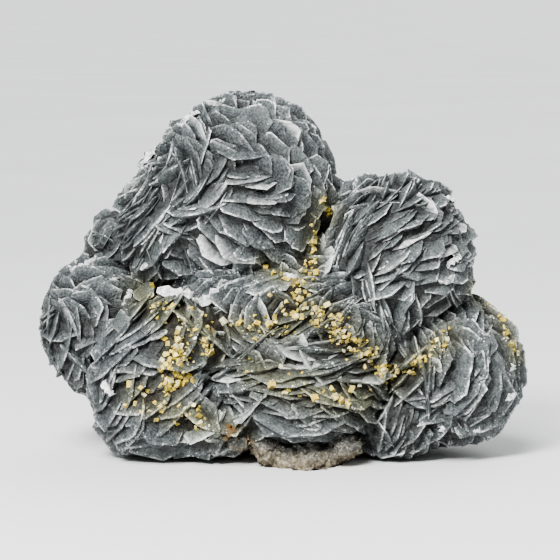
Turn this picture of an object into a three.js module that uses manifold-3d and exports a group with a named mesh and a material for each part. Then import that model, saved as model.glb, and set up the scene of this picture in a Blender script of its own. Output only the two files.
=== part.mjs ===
// A calcite specimen: grey rosettes of thin, lens-shaped blades that have grown together over a
// brown base stone, with small yellow crystals in the hollows between the rosettes.
// Millimetres, +Z up. The display side faces -Y. The origin is on the flat underside of the stone.

import * as THREE from "three";
import { mergeVertices } from "three/addons/utils/BufferGeometryUtils.js";
import Module from "manifold-3d";

const wasm = await Module();
wasm.setup();

// Driving dimensions
const GAP = 0.3; // between pieces that touch
const BASE_CUT = 0.8; // the lowest blades end this high above the stone's underside
const CORE_SHARE = 0.84; // a rosette's solid heart, as a share of its radii
const CORE_DETAIL = 1;

// Blades
const BLADE_SIDES = 5;
const BLADE_RAGGED = 0.16; // how unevenly a blade's outline runs
const REACH_SPREAD = 0.07; // how unevenly the blades' tips reach
const TURN_SPREAD = 0.35; // radians that a blade may turn out of its row
const LEAN_SPREAD = 12; // degrees by which neighbours lean more or less
const BURIED = 0.95; // a blade whose tip is this deep in another lump is left out

// A faceted shape grown by GAP all over has to widen by more than GAP where its faces meet sharply
const RIM_GROWTH = 4;
const STONE_GROWTH = 1.5;
const CUT_GROWTH = 2;

// The stone is lumps behind the tall rosette, behind the right one, below them all, and a front lip
const STONE_LUMPS = [
  { centre: [-14, 22, 38], radii: [42, 20, 42], detail: 2 },
  { centre: [34, 22, 28], radii: [34, 20, 33], detail: 2 },
  { centre: [2, 8, 4], radii: [48, 21, 9], detail: 1 },
  { centre: [8, -14, 1], radii: [22, 20, 6], detail: 1 },
];
const STONE_ROUGH = 0.1;
const STONE_FAMILY = 50;

// Each rosette: centre and radii, the way its rose opens, its blades' half length, half width and
// half thickness, how many blades, how far the rows of blades swirl, and the degrees they open by.
const ROSETTES = [
  // The tall one, upper left
  {
    centre: [-13, -2, 86.5], radii: [34, 33, 34], opens: [-0.3, -1, -0.25],
    blade: [9, 9, 1.3], count: 74, swirl: 0.7, lean: 30,
  },
  // Its lower left lobe
  {
    centre: [-35, -1, 76], radii: [21, 24, 24], opens: [-0.3, -1, 0],
    blade: [8, 8, 1.1], count: 30, swirl: 0.5, lean: 34,
  },
  // The round one at the right
  {
    centre: [37.5, -6, 65.5], radii: [28.5, 28, 30], opens: [0.1, -1, -0.2],
    blade: [7.5, 7.5, 1], count: 54, swirl: 1.1, lean: 27,
  },
  // Bottom right
  {
    centre: [55, -4, 25], radii: [26, 26, 27.5], opens: [-0.35, -1, 0.1],
    blade: [7, 8.4, 1.1], count: 42, swirl: 0.6, lean: 28,
  },
  // Bottom centre
  {
    centre: [6, -14, 25], radii: [31, 26, 25.5], opens: [0, -1, 0.15],
    blade: [6.5, 9, 1], count: 44, swirl: 0.4, lean: 28,
  },
  // Bottom left
  {
    centre: [-41, -8, 25], radii: [26, 24, 30], opens: [0.2, -1, 0],
    blade: [7, 8.4, 1.1], count: 42, swirl: 0.9, lean: 26,
  },
  // Far left
  {
    centre: [-60, 6, 42], radii: [20.5, 22, 24], opens: [-0.2, -1, -0.3],
    blade: [6, 6.5, 0.9], count: 28, swirl: 0.9, lean: 30,
  },
  // The small one behind the far left one
  {
    centre: [-51, 14, 66], radii: [15, 15, 16], opens: [-0.6, -0.6, 0.5],
    blade: [5, 5.5, 0.9], count: 15, swirl: 0.8, lean: 30,
  },
  // The middle mass that joins the others
  {
    centre: [3, 0, 46], radii: [46, 20, 26], opens: [0, -1, 0],
    blade: [6, 7, 0.9], count: 30, swirl: 1.2, lean: 20,
  },
  // The saddle between the tall one and the right one
  {
    centre: [21, 3, 77], radii: [14, 15, 14], opens: [0, -0.7, 0.7],
    blade: [5, 5.5, 0.9], count: 14, swirl: 0.8, lean: 24,
  },
];

// Drifts of yellow crystals as the front shows them: [x, z] of both ends, how far the crystals
// stray from the line between them, how many there are, and their mean size.
const DRIFTS = [
  { from: [13.5, 83.5], to: [11, 75], stray: 1.5, count: 3, size: 3 },
  { from: [10, 75], to: [8, 57], stray: 2, count: 5, size: 3 },
  { from: [3, 51.5], to: [21, 45], stray: 3, count: 6, size: 3 },
  { from: [18, 41.5], to: [28, 36], stray: 2.5, count: 5, size: 3 },
  { from: [29.5, 36.5], to: [37.5, 25], stray: 2.5, count: 4, size: 3 },
  { from: [39.5, 28], to: [54, 41.5], stray: 2, count: 4, size: 3 },
  { from: [64, 56], to: [69.5, 51.5], stray: 1.5, count: 3, size: 3 },
  { from: [72, 48], to: [77, 33], stray: 1, count: 2, size: 2.6 },
  { from: [-30, 40.5], to: [-25.5, 32.5], stray: 2, count: 4, size: 3 },
  { from: [-38, 29], to: [-30, 20], stray: 2.5, count: 5, size: 3 },
];
const DRIFT_FAMILY = 100;
const CRYSTAL_SPREAD = 0.3; // how much larger or smaller than the mean a crystal may be
const CRYSTAL_TURN = 3; // radians
const CRYSTAL_SUNK = 0.25; // how far a crystal's middle stands proud of the calcite, as a share of its size
const MOST_CRYSTAL_PIECES = 40;
const SMALLEST_CRYSTAL_VOLUME = 3; // cubic millimetres

const BEYOND = 400; // millimetres, well outside the specimen in every direction
const WELD = 1e-3; // corners closer than this are one

const CALCITE = { color: 0x7c8382, roughness: 0.55, metalness: 0 };
const BROWN_STONE = { color: 0x8a7358, roughness: 0.9, metalness: 0 };
const YELLOW_CRYSTAL = { color: 0xd8bf62, roughness: 0.35, metalness: 0 };

const vector = (xyz) => new THREE.Vector3(...xyz);

// A steady number from 0 to 1 for each blade or crystal, so that every run gives the same specimen
function chance(family, index, use) {
  const wave = Math.sin(family * 127.1 + index * 311.7 + use * 74.7) * 43758.5453;
  return wave - Math.floor(wave);
}

const spread = (family, index, use) => 2 * chance(family, index, use) - 1;

// Direction number index of a series that covers a sphere evenly, however many are taken
function spherePoint(index) {
  const plastic = 1.32471795724;
  const rise = 1 - 2 * ((0.5 + index / plastic) % 1);
  const round = 2 * Math.PI * ((0.5 + index / plastic ** 2) % 1);
  const level = Math.sqrt(1 - rise * rise);
  return new THREE.Vector3(level * Math.cos(round), level * Math.sin(round), rise);
}

// Slow waves over a sphere, from about -1 to 1, that turn whole rows of blades together
function slowWave(direction, family) {
  const { x, y, z } = direction;
  const sideways = Math.sin(3.1 * x + 1.7 * family);
  const inwards = Math.sin(3.7 * y + 2.3 * z + family);
  const upwards = Math.cos(2.9 * z - x);
  return (sideways + inwards + upwards) / 2;
}

// The geometry with its shared corners merged, and nothing but positions on them
function welded(geometry) {
  for (const name of ["normal", "uv"]) geometry.deleteAttribute(name);
  return mergeVertices(geometry, WELD);
}

function toSolid(geometry) {
  const merged = welded(geometry.clone());
  return new wasm.Manifold(
    new wasm.Mesh({
      numProp: 3,
      vertProperties: new Float32Array(merged.getAttribute("position").array),
      triVerts: new Uint32Array(merged.getIndex().array),
    }),
  );
}

function toGeometry(solid) {
  const mesh = solid.getMesh();
  const geometry = new THREE.BufferGeometry();
  geometry.setAttribute("position", new THREE.BufferAttribute(new Float32Array(mesh.vertProperties), 3));
  geometry.setIndex(new THREE.BufferAttribute(new Uint32Array(mesh.triVerts), 1));
  geometry.computeVertexNormals();
  return geometry;
}

// Joins solids in pairs, then the pairs in pairs, until one is left
function joined(solids) {
  if (solids.length === 1) return solids[0];
  const pairs = [];
  for (let i = 0; i < solids.length; i += 2) {
    pairs.push(i + 1 < solids.length ? solids[i].add(solids[i + 1]) : solids[i]);
  }
  return joined(pairs);
}

// The separate pieces of a solid, largest first. Pieces that only touch along an edge come apart, and
// a sealed hollow, whose volume counts as less than nothing, is filled.
function pieces(solid) {
  const parts = toSolid(toGeometry(solid)).decompose();
  if (parts.length === 1) return [solid];
  const filled = parts.filter((part) => part.volume() > 0);
  return filled.flatMap(pieces).sort((a, b) => b.volume() - a.volume());
}

// All the space above a level
function spaceAbove(level) {
  const space = new THREE.BoxGeometry(BEYOND, BEYOND, BEYOND);
  space.translate(0, 0, level + BEYOND / 2);
  return toSolid(space);
}

// Where a blade sits: the way its tip points, its flat face's normal, the way across, and its centre
function bladePlace(rosette, family, index) {
  const radii = vector(rosette.radii);
  const direction = spherePoint(index);
  const out = direction.clone().divide(radii).normalize();
  const opens = vector(rosette.opens).normalize();
  const face = opens.clone().addScaledVector(out, -opens.dot(out));
  if (face.length() < 0.2) {
    face.set(spread(family, index, 1), 0, spread(family, index, 2)).projectOnPlane(out);
  }
  const turn = rosette.swirl * slowWave(direction, family) + TURN_SPREAD * spread(family, index, 3);
  face.normalize().applyAxisAngle(out, turn);
  const lean = THREE.MathUtils.degToRad(rosette.lean + LEAN_SPREAD * spread(family, index, 4));
  const across = new THREE.Vector3().crossVectors(face, out);
  const tip = out.clone().applyAxisAngle(across, lean);
  face.applyAxisAngle(across, lean);
  const reach = 1 + REACH_SPREAD * spread(family, index, 5);
  const surface = direction.multiply(radii).multiplyScalar(reach);
  const centre = vector(rosette.centre).add(surface).addScaledVector(tip, -rosette.blade[0]);
  return { tip, face, across, centre };
}

// A blade is a flat lens: a sphere of two rows of faces, with a ragged rim
function bladeSolid(rosette, family, index, grow) {
  const lens = welded(new THREE.SphereGeometry(1, BLADE_SIDES, 2));
  const points = lens.getAttribute("position");
  for (let i = 0; i < points.count; i++) {
    const isRim = Math.abs(points.getY(i)) < 0.5;
    if (!isRim) continue;
    const share = 1 + BLADE_RAGGED * spread(family, index, 10 + i);
    points.setXYZ(i, points.getX(i) * share, 0, points.getZ(i) * share);
  }
  const [length, width, thickness] = rosette.blade;
  const { tip, face, across, centre } = bladePlace(rosette, family, index);
  lens.scale(width + RIM_GROWTH * grow, thickness + grow, length + RIM_GROWTH * grow);
  lens.applyMatrix4(new THREE.Matrix4().makeBasis(across, face, tip).setPosition(centre));
  return toSolid(lens);
}

function coreSolid(rosette, grow) {
  const core = new THREE.IcosahedronGeometry(1, CORE_DETAIL);
  core.scale(...rosette.radii.map((radius) => CORE_SHARE * radius + grow));
  core.translate(...rosette.centre);
  return toSolid(core);
}

// How far out a point is in a rosette or a lump of stone: 0 at its heart and 1 at its outer surface
function depthIn(lump, point) {
  return point.clone().sub(vector(lump.centre)).divide(vector(lump.radii)).length();
}

function isBuried(point, own) {
  const others = ROSETTES.filter((rosette) => rosette !== own);
  return [...others, ...STONE_LUMPS].some((lump) => depthIn(lump, point) < BURIED);
}

function rosetteSolid(rosette, family, grow) {
  const parts = [coreSolid(rosette, grow)];
  for (let index = 0; index < rosette.count; index++) {
    const { tip, centre } = bladePlace(rosette, family, index);
    const end = centre.clone().addScaledVector(tip, rosette.blade[0]);
    if (end.z < BASE_CUT || isBuried(end, rosette)) continue;
    parts.push(bladeSolid(rosette, family, index, grow));
  }
  return joined(parts);
}

// The whole grey growth, cut level just above the stone's underside
function calciteSolid(grow) {
  const rosettes = ROSETTES.map((rosette, family) => rosetteSolid(rosette, family, grow));
  return joined(rosettes).intersect(spaceAbove(BASE_CUT - grow));
}

function lumpSolid(lump, family, grow) {
  const rock = welded(new THREE.IcosahedronGeometry(1, lump.detail));
  const points = rock.getAttribute("position");
  for (let i = 0; i < points.count; i++) {
    const share = 1 + STONE_ROUGH * spread(family, i, 1);
    points.setXYZ(i, points.getX(i) * share, points.getY(i) * share, points.getZ(i) * share);
  }
  rock.scale(...lump.radii.map((radius) => radius + STONE_GROWTH * grow));
  rock.translate(...lump.centre);
  return toSolid(rock);
}

// The base stone, cut flat underneath
function stoneSolid(grow) {
  const lumps = STONE_LUMPS.map((lump, row) => lumpSolid(lump, STONE_FAMILY + row, grow));
  return joined(lumps).intersect(spaceAbove(-CUT_GROWTH * grow));
}

// One crystal: a tilted block that stands a little proud of the surface at a height y
function crystalSolid(drift, family, index, [x, y, z]) {
  const size = drift.size * (1 + CRYSTAL_SPREAD * spread(family, index, 4));
  const block = new THREE.BoxGeometry(size, size, size);
  block.rotateX(CRYSTAL_TURN * chance(family, index, 5));
  block.rotateZ(CRYSTAL_TURN * chance(family, index, 6));
  block.translate(x, y - CRYSTAL_SUNK * size, z);
  return toSolid(block);
}

// Crystals sit where a line of sight from the front meets the calcite
function crystalSolids(calciteMesh) {
  const sight = new THREE.Raycaster();
  const solids = [];
  DRIFTS.forEach((drift, row) => {
    const family = DRIFT_FAMILY + row;
    for (let index = 0; index < drift.count; index++) {
      const along = (index + chance(family, index, 1)) / drift.count;
      const [x, z] = [0, 1].map((axis) => {
        const onLine = THREE.MathUtils.lerp(drift.from[axis], drift.to[axis], along);
        return onLine + drift.stray * spread(family, index, 2 + axis);
      });
      sight.set(new THREE.Vector3(x, -BEYOND, z), new THREE.Vector3(0, 1, 0));
      const hit = sight.intersectObject(calciteMesh)[0];
      if (hit) solids.push(crystalSolid(drift, family, index, [x, hit.point.y, z]));
    }
  });
  return solids;
}

function named(name, solid, look) {
  const mesh = new THREE.Mesh(toGeometry(solid), new THREE.MeshStandardMaterial(look));
  mesh.name = name;
  return mesh;
}

const specimen = new THREE.Group();
const grownStone = stoneSolid(GAP);
const calcite = pieces(calciteSolid(0).subtract(grownStone))[0];
const calciteMesh = named("calcite_rosettes", calcite, CALCITE);
specimen.add(calciteMesh, named("base_stone", stoneSolid(0), BROWN_STONE));

// Crystals that touch each other are one piece, and each piece keeps clear of what it sits on
const clearance = calciteSolid(GAP).add(grownStone);
pieces(joined(crystalSolids(calciteMesh)).subtract(clearance))
  .filter((piece) => piece.volume() > SMALLEST_CRYSTAL_VOLUME && piece.intersect(calcite).isEmpty())
  .slice(0, MOST_CRYSTAL_PIECES)
  .forEach((piece, index) => {
    const number = String(index + 1).padStart(2, "0");
    specimen.add(named(`yellow_crystals_${number}`, piece, YELLOW_CRYSTAL));
  });

export default specimen;
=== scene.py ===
"""The looks of a calcite specimen: rosettes of thin grey blades on brown stone, with yellow crystals.

Everything is in metres in the frame of the solid model: +Z up, the display side faces -Y. The tables
below hold millimetres and degrees, and are scaled where the meshes are made.
"""

import math
from itertools import product

import bmesh
import bpy
import numpy as np
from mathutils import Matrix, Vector, noise
from mathutils.bvhtree import BVHTree


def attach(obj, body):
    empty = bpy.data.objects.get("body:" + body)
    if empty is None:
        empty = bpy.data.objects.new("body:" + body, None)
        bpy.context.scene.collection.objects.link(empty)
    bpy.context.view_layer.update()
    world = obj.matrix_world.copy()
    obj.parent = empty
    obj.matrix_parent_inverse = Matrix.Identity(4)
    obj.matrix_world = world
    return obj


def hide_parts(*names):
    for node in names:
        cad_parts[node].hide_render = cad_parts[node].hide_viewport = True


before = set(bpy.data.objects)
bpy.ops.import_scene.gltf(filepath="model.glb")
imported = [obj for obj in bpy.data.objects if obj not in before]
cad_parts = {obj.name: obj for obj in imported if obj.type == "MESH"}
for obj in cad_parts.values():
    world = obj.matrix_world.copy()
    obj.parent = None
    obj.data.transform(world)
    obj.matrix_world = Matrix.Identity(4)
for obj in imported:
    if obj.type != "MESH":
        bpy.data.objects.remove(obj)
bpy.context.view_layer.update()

MM = 0.001
BASE_CUT = 0.8  # the calcite reaches no lower

# How the blades run on the front of each rosette. A flow has a place there, x and z; the direction in
# which the blades' faces look, from +X towards +Z; how far they lean back; and how large they are.
TALL_FLOWS = [
    (6, 101, 212, 40, 0.7), (-5, 114, 235, 28, 0.75), (-22, 114, 258, 28, 0.9), (11, 87, 190, 38, 0.7),
    (-27, 101, 262, 24, 1.1), (-12, 93, 75, 24, 1), (1, 84, 68, 28, 0.7), (-1, 72, 60, 30, 0.7),
    (-22, 89, 150, 10, 1), (-33, 89, 160, 8, 1), (-16, 79, 45, 16, 1), (-27, 77, 30, 12, 1),
    (-24, 66, 52, 18, 0.95), (-10, 65, 40, 16, 0.9), (-38, 74, 145, 14, 1), (-46, 83, 142, 18, 1),
    (-43, 99, 138, 18, 1), (-48, 66, 135, 16, 1), (-8, 60, 80, 44, 1.3),
]
RIGHT_FLOWS = [
    (40, 95, 172, 8, 0.8), (52, 90, 140, 10, 0.8), (26, 90, 120, 30, 1), (36, 82, 98, 40, 1.5),
    (49, 82, 118, 30, 0.9), (56, 72, 122, 28, 0.85), (52, 61, 118, 22, 0.95), (41, 72, 132, 14, 1.1),
    (34, 66, 128, 12, 1.1), (31, 76, 142, 10, 1), (21, 73, 152, 12, 1), (20, 60, 168, 12, 1),
    (46, 51, 118, 14, 1), (39, 52, 178, 4, 1.1), (30, 52, 196, 6, 1.1), (33, 42, 215, 16, 1),
    (26, 45, 190, 12, 1),
]
BOTTOM_RIGHT_FLOWS = [
    (67, 39, 200, 42, 1.2), (69, 26, 175, 40, 1.2), (57, 43, 215, 32, 1.1), (66, 13, 110, 34, 1.1),
    (54, 11, 150, 18, 1), (44, 11, 145, 10, 1), (43, 26, 130, 8, 1), (54, 26, 110, 18, 1.1),
]
BOTTOM_CENTRE_FLOWS = [
    (-8, 40, 268, 34, 1.1), (-18, 34, 120, 18, 1.1), (2, 32, 85, 22, 1.3), (18, 33, 100, 18, 1.2),
    (-12, 24, 60, 16, 1.2), (6, 22, 78, 18, 1.3), (22, 22, 75, 18, 1.2), (-18, 14, 128, 14, 1.1),
    (-2, 11, 70, 20, 1.2), (14, 11, 62, 20, 1.2), (30, 12, 60, 18, 1.1),
]
BOTTOM_LEFT_FLOWS = [
    (-48, 44, 138, 36, 1.3), (-43, 31, 140, 34, 1.4), (-34, 38, 138, 32, 1.3), (-52, 20, 150, 30, 1.2),
    (-23, 46, 30, 12, 1.4), (-28, 34, 140, 24, 1.1), (-43, 12, 128, 34, 1.2), (-30, 14, 126, 32, 1.2),
    (-22, 24, 128, 22, 1.2), (-24, 10, 125, 28, 1.4),
]
FAR_LEFT_FLOWS = [
    (-65, 62, 285, 36, 1.1), (-66, 54, 262, 38, 1.2), (-62, 42, 168, 30, 1.3), (-73, 44, 150, 30, 1.2),
    (-60, 31, 185, 20, 1.1), (-69, 32, 160, 24, 1.1),
]

# What a rosette has unless it says otherwise: how far its rows swirl, how its blades run, how dark and how
# pale they are, what share of them glints and has companions, the rim's half thickness, and how far
# round the front the flows begin
USUAL_ROSETTE = dict(
    swirl=0.15, flows=[], tones=(0.0, 0.7), glint=0.05, companions=0.42, blunt=0.06, flows_from=-0.3,
)
TALL_LOOK = dict(lean=34, swirl=0.2, flows=TALL_FLOWS, tones=(0.1, 0.8))
LEFT_LOOK = dict(
    opens=(0.2, -1, 0), flows=BOTTOM_LEFT_FLOWS, flows_from=0.1, tones=(0, 0.35), companions=0.1,
    blunt=0.16,
)

# Each rosette: centre and radii, the way its rose opens, its blades' half length, half width and half
# thickness, how many main blades, and the degrees that the blades lean back
ROSETTES = {
    "tall": dict(
        centre=(-12.5, -2, 86.5), radii=(32.3, 33, 33), opens=(-0.3, -1, -0.25),
        blade=(6.4, 8.8, 2.6), count=330, **TALL_LOOK,
    ),
    "tall_lobe": dict(
        centre=(-34, -1, 76), radii=(21, 24, 23), opens=(-0.3, -1, 0),
        blade=(6.2, 8.4, 2.4), count=175, **TALL_LOOK,
    ),
    "right": dict(
        centre=(36.5, -6, 65.5), radii=(27.5, 28, 29), opens=(0.1, -1, -0.2),
        blade=(6, 7.8, 2.2), count=280, lean=30, flows=RIGHT_FLOWS, tones=(0.6, 1), glint=0.12,
    ),
    "bottom_right": dict(
        centre=(54.5, -4, 28), radii=(26, 26, 26), opens=(-0.35, -1, 0.1),
        blade=(6.4, 9.8, 2.4), count=190, lean=30, flows=BOTTOM_RIGHT_FLOWS, tones=(0, 0.5),
    ),
    "foot_right": dict(
        centre=(38, -10, 12), radii=(17, 16, 13.5), opens=(-0.35, -1, 0.1),
        blade=(5, 7.5, 2), count=85, lean=24, flows=BOTTOM_RIGHT_FLOWS,
    ),
    "bottom_centre": dict(
        centre=(6, -14, 25.5), radii=(31, 26, 24), opens=(0, -1, 0.15),
        blade=(6.4, 10.6, 2.5), count=215, lean=26, flows=BOTTOM_CENTRE_FLOWS, tones=(0, 0.2),
        companions=0.25, blunt=0.12,
    ),
    "bottom_left": dict(
        centre=(-39.5, -8, 25.5), radii=(24, 24, 30), blade=(6.6, 10, 2.9), count=215, lean=26, **LEFT_LOOK,
    ),
    "left_join": dict(
        centre=(-28, -9, 42), radii=(22, 22, 17), blade=(6, 9.4, 2.6), count=110, lean=22, **LEFT_LOOK,
    ),
    "low_join": dict(
        centre=(-22, -12, 15), radii=(16, 19, 16), blade=(5.6, 9.2, 2.4), count=80, lean=22, **LEFT_LOOK,
    ),
    "far_left": dict(
        centre=(-60, 6, 42), radii=(20.5, 22, 24), opens=(-0.2, -1, -0.3),
        blade=(5.2, 7, 2.2), count=175, swirl=0.25, lean=30, flows=FAR_LEFT_FLOWS, tones=(0, 0.4),
        companions=0.2, blunt=0.1,
    ),
    "behind_left": dict(
        centre=(-51, 14, 66), radii=(15, 15, 16), opens=(-0.6, -0.6, 0.5),
        blade=(4.6, 5.4, 1.4), count=100, swirl=0.4, lean=30,
    ),
    "middle": dict(
        centre=(5, -7, 48), radii=(44, 24, 28), opens=(0, -1, 0),
        blade=(5.8, 7.8, 2.1), count=960, swirl=0.7, lean=26, tones=(0, 0.5),
    ),
    "saddle": dict(
        centre=(21, 3, 77), radii=(14, 15, 14), opens=(0, -0.7, 0.7),
        blade=(4.4, 5.2, 1.4), count=100, swirl=0.5, lean=26,
    ),
}
for own in ROSETTES.values():
    own.update({**USUAL_ROSETTE, **own})

# The stone's lumps: centre and radii, and for some how far out the blades stay clear of them
STONE_LUMPS = [
    dict(centre=(-14, 22, 38), radii=(42, 20, 42)),
    dict(centre=(34, 22, 28), radii=(34, 20, 33)),
    dict(centre=(2, 8, 4), radii=(48, 21, 9)),
    dict(centre=(7, -14, -1), radii=(14, 21, 13), clears=1.08),
    dict(centre=(-3, -15, 6), radii=(8, 17, 7)),
    dict(centre=(20, -14, 6), radii=(9, 17, 6)),
    dict(centre=(-14, -16, 9), radii=(4, 13, 5)),
]
for lump in STONE_LUMPS:
    lump.setdefault("clears", 1.04)

# Drifts of yellow crystals as the front shows them: x and z of both ends, how far the crystals stray
# from the line between them, how many there are, and their mean size. For some also how wide a hollow
# they sit in, and their tones from palest to darkest.
DRIFT_ROWS = [
    ((13, 85), (16, 81), 2, 5, 1.7), ((11, 79), (9.5, 66), 2.4, 11, 1.6, 3.2),
    ((9, 66), (5, 54), 3.8, 32, 1.4, 3.6), ((-5, 64.5), (4, 60), 2, 6, 1.9, 3.2),
    ((0, 52), (12, 49), 5, 34, 1.3), ((10, 51), (21, 45), 5, 34, 1.35, 1.5),
    ((16, 44), (26, 37.5), 4.2, 54, 1.3, 2.4), ((27, 38), (36, 27), 5.4, 36, 1.35, 1.5),
    ((39, 30), (54, 42), 4, 30, 1.35, 1.5), ((64, 56), (70, 50), 2.4, 18, 1.5),
    ((71, 49), (77, 34), 1.6, 14, 1.4), ((-32, 41), (-34.5, 27), 5.6, 110, 1.4, 3),
    ((-25, 41), (-21, 36), 2.6, 14, 1.4, 1.5), ((-46, 54), (-22, 44), 6, 30, 1.25),
    ((-46, 24), (-24, 14), 6, 34, 1.35), ((-16, 45), (4, 46), 4.5, 30, 1.35),
    ((-8, 32), (26, 22), 8, 22, 1.5), ((-17, 13), (-8, 5), 3.4, 46, 1.4, 0, (0.97, 1)),
]
DRIFT_PARTS = ("start", "end", "stray", "count", "size", "hollow", "tones")
USUAL_DRIFT = dict(hollow=0, tones=(0, 0.97))
DRIFTS = [{**USUAL_DRIFT, **dict(zip(DRIFT_PARTS, row))} for row in DRIFT_ROWS]

# Where blades are broken to white: x and z on the front, the way the broken rim runs in degrees from +X
# towards +Z, its length, and how thick it is.
CHIPS = [
    (-33, 55.5, -15, 17, 4.4), (-21, 56, 33, 16, 4.2), (-44, 98, 52, 9, 2.8), (-30, 112, 40, 7, 2.2),
    (-19, 116.5, 8, 9, 2.8), (4, 62, -12, 7, 1.8), (54, 66, 32, 9, 2.4), (52, 60, 20, 8, 2.2),
    (55, 86, -15, 5, 1.6), (-65, 63, 25, 11, 2.4), (-55, 59, 5, 4, 1.2), (-56, 26, -62, 6, 2.4),
    (75, 31, 70, 4, 1.8), (74, 22, 15, 5, 2.4), (52, 12.5, 80, 3.4, 2.4), (63, 11, 15, 4, 1.6),
    (-50, 53, 60, 8, 2.6),
]

# Large blades that stand out from the others: x and z of the rim's middle on the front, the way the face
# looks in degrees from +X towards +Z, how many degrees it leans back, half its width and length, and how
# white it is.
LARGE_BLADES = [
    (-3, 56.5, 100, 48, 11, 7, 0.4), (10, 57, 72, 40, 7, 6, 0.36), (-22, 12, 138, 38, 8, 8, 0.5),
    (-28, 9, 130, 34, 7, 7, 0.46), (-19.5, 44, 268, 30, 3.6, 4, 0.62), (35, 85, 268, 30, 14, 8, 0.3),
    (50, 33, 200, 24, 4.5, 6, 0.5), (46, 23, 205, 24, 4, 6, 0.48), (-50, 45, 146, 30, 3.4, 6, 0.4),
    (-43, 53, 130, 30, 4, 6, 0.38), (-28, 29, 300, 26, 5, 6, 0.3), (-12, 21, 50, 26, 9, 6, 0.42),
]


# Steady numbers in place of random ones

HASH_FAMILY, HASH_INDEX, HASH_USE, HASH_SCALE = 127.1, 311.7, 74.7, 43758.5453
CHIP_FAMILY = 60
LARGE_FAMILY = 70
DRIFT_FAMILY = 100
COMPANION_FAMILY = 0.37


class Use:
    """What each steady number of a blade is for. The last ones begin a series each."""

    LOOSE_X, LOOSE_Z, TURN, LEAN, REACH, SIZE, WIDTH, LENGTH, CUP, CURL = range(1, 11)
    TONE, TWIN, TWIN_SIDE, THICK, FOLDS, FOLD_START, GLINT, WHITE = range(11, 19)
    RAGGED, UNEVEN, UNEVEN_RING, COMPANION, CORNER_ANGLE, CORNER_RADIUS = 30, 60, 40, 90, 200, 220
    CHIP_FRONT, CHIP_BACK = 301, 302


class Seed:
    """What each steady number of a crystal is for"""

    ALONG, STRAY_X, STRAY_Z, SIZE, AXIS_X, AXIS_Y, AXIS_Z, TURN, TONE, CLOSE, LONG = range(1, 12)
    FACET = 20


def chance(family, index, use):
    """A steady number from 0 to 1, so that every run gives the same specimen"""
    turns = family * HASH_FAMILY + np.asarray(index, float) * HASH_INDEX + use * HASH_USE
    wave = np.sin(turns) * HASH_SCALE
    return wave - np.floor(wave)


def spread(family, index, use):
    return 2 * chance(family, index, use) - 1


# Directions and distances


def unit(vectors):
    return vectors / np.maximum(np.linalg.norm(vectors, axis=-1, keepdims=True), 1e-9)


def turned(vectors, axes, angles):
    """Each vector turned about its own axis, which has length 1"""
    cos, sin = np.cos(angles)[:, None], np.sin(angles)[:, None]
    along = np.sum(vectors * axes, axis=1, keepdims=True)
    return vectors * cos + np.cross(axes, vectors) * sin + axes * along * (1 - cos)


def flattened(vectors, out):
    """Vectors laid into the surface whose outward direction is out"""
    return vectors - out * np.sum(vectors * out, axis=1, keepdims=True)


def smooth(value, low, high):
    """0 below low, 1 above high and a smooth step between"""
    share = np.clip((value - low) / (high - low), 0, 1)
    return share * share * (3 - 2 * share)


def sphere_points(count):
    """Directions of a series that covers a sphere evenly, however many are taken"""
    plastic = 1.32471795724
    index = np.arange(count)
    rise = 1 - 2 * ((0.5 + index / plastic) % 1)
    around = 2 * np.pi * ((0.5 + index / plastic**2) % 1)
    level = np.sqrt(1 - rise * rise)
    return np.stack([level * np.cos(around), level * np.sin(around), rise], axis=1)


WAVES_ACROSS, WAVES_DEEP, WAVES_UP, WAVES_TILTED = 3.1, 3.7, 2.3, 2.9
FAMILY_WAVE = 1.7


def slow_wave(direction, family):
    """Slow waves over a sphere, from about -1 to 1, that turn whole rows of blades together"""
    x, y, z = direction.T
    sideways = np.sin(WAVES_ACROSS * x + FAMILY_WAVE * family)
    inwards = np.sin(WAVES_DEEP * y + WAVES_UP * z + family)
    return (sideways + inwards + np.cos(WAVES_TILTED * z - x)) / 2


def depth_in(lump, points):
    """How far out points are in a lump: 0 at its heart and 1 at its outer surface"""
    return np.linalg.norm((points - np.array(lump["centre"])) / np.array(lump["radii"]), axis=-1)


def distance_to_drift(drift, points):
    """How far points are, seen from the front, from the line along which a drift runs"""
    start, end = np.array(drift["start"], float), np.array(drift["end"], float)
    seen = points[..., [0, 2]] - start
    line = end - start
    share = np.clip(seen @ line / (line @ line), 0, 1)
    return np.linalg.norm(seen - share[..., None] * line, axis=-1)


def in_hollow(points):
    """Whether points are in front of one of the hollows that the crystals sit in"""
    found = np.zeros(points.shape[:-1], bool)
    for drift in DRIFTS:
        found |= distance_to_drift(drift, points) < drift["hollow"]
    return found & (points[..., 1] < 0)


# Where the blades are

REACH_SPREAD = 0.05
TURN_SPREAD = 0.17
LEAN_SPREAD = 8  # degrees
TWIN_SHARE = 0.08
TWIN_TURN = math.radians(60)
FLOW_REACH = 8.0
FLOWS_RISE = 0.4
ROSE_WEIGHT = 0.04  # what the rose's own direction still counts where the flows rule
POLE = 0.2  # closer than this to where the rose opens, a blade's face looks any way
SIDE_UPRIGHT = 0.65
SIDE_BAND = 0.32


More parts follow.
